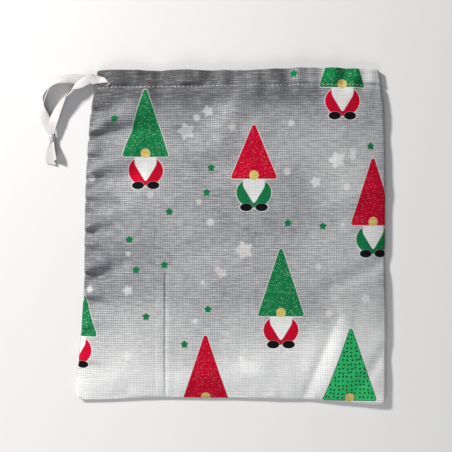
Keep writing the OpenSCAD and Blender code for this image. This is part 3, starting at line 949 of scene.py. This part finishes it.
def stitch_row(name, starts, surface, lift):
    """Stitches between neighbouring points of a line, on a surface z(x, y)."""
    parts = []
    for (x0, y0), (x1, y1) in starts:
        a = np.array([x0, y0, float(surface(np.array([x0]), np.array([y0]))[0])])
        b = np.array([x1, y1, float(surface(np.array([x1]), np.array([y1]))[0])])
        parts.append(stitch(a, b, np.array(lift) * 0.24))
    return make_mesh(name, *joined(parts), THREAD)


def casing_row():
    wobble = np.random.default_rng(7).normal(0, 0.07, 200)
    row = []
    for i, x in enumerate(np.arange(-80.5, 88.5, PITCH)):
        y = float(stitch_line(x))
        row.append(((x, y + wobble[i]), (x + PITCH * 0.72, y + wobble[i + 1])))
    return row


def beside_left(y):
    return float(left_at(y)) + SEAM_IN, y


def above_bottom(x):
    return x, float(bottom_line(x)) + SEAM_IN


def between(x, y):
    return (front_z(x, y) + back_z(x, y)) / 2


casing_front = stitch_row("casing_stitches_front", casing_row(), front_z, (0, 0, 1))
casing_back = stitch_row("casing_stitches_back", casing_row(),
                         lambda x, y: back_z(x, y) + 0.22, (0, 0, -0.4))
side_row = [(beside_left(y), beside_left(y + SEAM_STITCH)) for y in np.arange(-88, 86, PITCH)]
bottom_row = [(above_bottom(x), above_bottom(x + SEAM_STITCH)) for x in np.arange(-80, 80, PITCH)]
side_stitches = stitch_row("side_seam_stitches", side_row, between, (0, 0, 1))
bottom_stitches = stitch_row("bottom_seam_stitches", bottom_row, between, (0, 0, 1))

# The cut end of the thread that stands out beside the notch.
frays = []
for k, (dx, dy, rise) in enumerate(((-2.6, -3.0, 0.5), (-3.6, -1.6, 0.3), (-1.6, -2.2, 0.9))):
    t = np.linspace(0, 1, 9)
    x = -73.0 + dx * t + 0.5 * np.sin(t * 3 + k)
    y = 92.6 + dy * t + 0.4 * np.sin(t * 4 + k * 2)
    z = front_z(x, y) + 0.25 + rise * np.sin(t * math.pi)
    frays.append(round_tube(np.stack([x, y, z], 1), THREAD_R * (1 - 0.5 * t) * (0.7 if k else 1.0), 7))
fray = make_mesh("thread_end", *joined(frays), THREAD)

# ---- the ribbon inside the casing ----

# Beyond this place the ribbon is the turn piece, which goes on round the fold.
SPLIT_X = -70.0
LOWER_Z = 0.95


def tunnel_z(x, y):
    return front_z(x, np.full_like(x, y)) - ROLL


def pinch(x):
    """How much narrower the ribbon is where it is drawn through the notch."""
    return 3.4 * smooth((x + 85) / 12) * smooth((-50 - x) / 14)


def inner_run(name, upper):
    """From the exit into the casing, with closer stations along its first 3 mm."""
    x = np.concatenate([np.linspace(EXIT_X, EXIT_X + 3, 16), np.arange(EXIT_X + 4, SPLIT_X, 1.5)])
    if upper:
        rise = smooth((x - EXIT_X - 2.0) / 11)
        z = 3.0 + (np.maximum(tunnel_z(np.maximum(x, -71), RUN_Y), 3.0) - 3.0) * rise
    else:
        z = np.full_like(x, LOWER_Z)
    less = pinch(x) if upper else 0 * x
    return ribbon_mesh(name, np.stack([x, RUN_Y - 0.28 * less, z, np.zeros_like(x)], 1), RIBBON_W - less)


front_run = inner_run("ribbon_run_front", True)
back_run = inner_run("ribbon_run_back", False)


def turn_mesh(name):
    """The rest of the ribbon: along under the front, round the fold and back under."""
    x = np.arange(SPLIT_X, float(right_line(RUN_Y)) - 3.2, 1.5)
    above = np.stack([x, RUN_Y - 0.28 * pinch(x), tunnel_z(x, RUN_Y)], 1)
    below = np.stack([x, np.full_like(x, RUN_Y), np.full_like(x, LOWER_Z)], 1)[::-1]
    bend = np.radians(np.arange(70, -71, -20))
    gap = (above[-1, 2] - below[0, 2]) / 2
    arc_z = below[0, 2] + gap + gap * np.sin(bend)
    arc = np.stack([x[-1] + 1.2 * np.cos(bend), np.full_like(bend, RUN_Y), arc_z], 1)
    loop = np.concatenate([above, arc, below])
    run = np.gradient(loop, axis=0)
    run /= np.linalg.norm(run, axis=1, keepdims=True)
    skin = np.cross(run, [0.0, 1.0, 0.0])
    half = np.full(len(loop), RIBBON_W / 2)
    half[:len(x)] -= pinch(x) / 2
    across = half[:, None] * np.array([0.0, 1.0, 0.0])
    outer, inner = loop + skin * RIBBON_T / 2, loop - skin * RIBBON_T / 2
    strip = np.stack([outer - across, outer + across, inner + across, inner - across], 1)
    reach = np.concatenate([[0], np.cumsum(np.linalg.norm(np.diff(loop, axis=0), axis=1))])
    uvs = np.stack([np.repeat(reach, 4), np.tile([0.0, RIBBON_W, RIBBON_W, 0.0], len(loop))], 1)
    last = 4 * (len(loop) - 1)
    ends = [(3, 2, 1, 0), (last, last + 1, last + 2, last + 3)]
    return make_mesh(name, strip.reshape(-1, 3), grid_faces(len(loop), 4, wrap=True) + ends, uvs, SATIN)


turn_run = turn_mesh("ribbon_run_turn")

# ---- bodies and replaced nodes ----

fold_start = (float(left_line(TOP_Y)) * MM, 0, 0)
fold_end = (float(right_line(TOP_Y)) * MM, 0, 0)
for piece, nodes, slot in (
    (front_cloth, ("front_panel", "front_lining", "front_mouth_edge", "front_hem", "side_fold"),
     "printed_cotton"),
    (back_cloth, ("back_panel", "back_lining", "back_mouth_edge", "back_hem"), "printed_cotton"),
    (front_reverse, ("front_panel",), "cotton_reverse"),
    (back_reverse, ("back_panel",), "cotton_reverse"),
    (side_allowance, ("side_seam",), "cotton_reverse"),
    (bottom_allowance, ("bottom_seam",), "cotton_reverse"),
    (casing_front, ("front_casing_stitching",), "sewing_thread"),
    (casing_back, ("back_casing_stitching",), "sewing_thread"),
    (side_stitches, ("side_stitching",), "sewing_thread"),
    (bottom_stitches, ("bottom_stitching",), "sewing_thread"),
    (turn_run, ("ribbon_turn", "ribbon_front_run", "ribbon_back_run"), "satin_ribbon"),
):
    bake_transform(piece)
    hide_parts(*nodes)

for piece, node in ((front_run, "ribbon_front_run"), (back_run, "ribbon_back_run")):
    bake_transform(piece)
    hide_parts(node)

for piece, node in (
    (back_leg, "ribbon_back_leg"), (front_leg, "ribbon_front_leg"), (knot, "ribbon_knot"),
    (tails[0], "ribbon_tails"), (tails[1], "ribbon_tails"),
):
    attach(piece, "drawstring")
    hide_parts(node)

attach(fray, "pouch")
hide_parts("thread_tail")

floor = make_mesh("floor", [(-1500, -1500, 0), (1500, -1500, 0), (1500, 1500, 0), (-1500, 1500, 0)],
                  [(0, 1, 2, 3)], [(0, 0), (1, 0), (1, 1), (0, 1)], floor_paper())

bpy.context.view_layer.update()
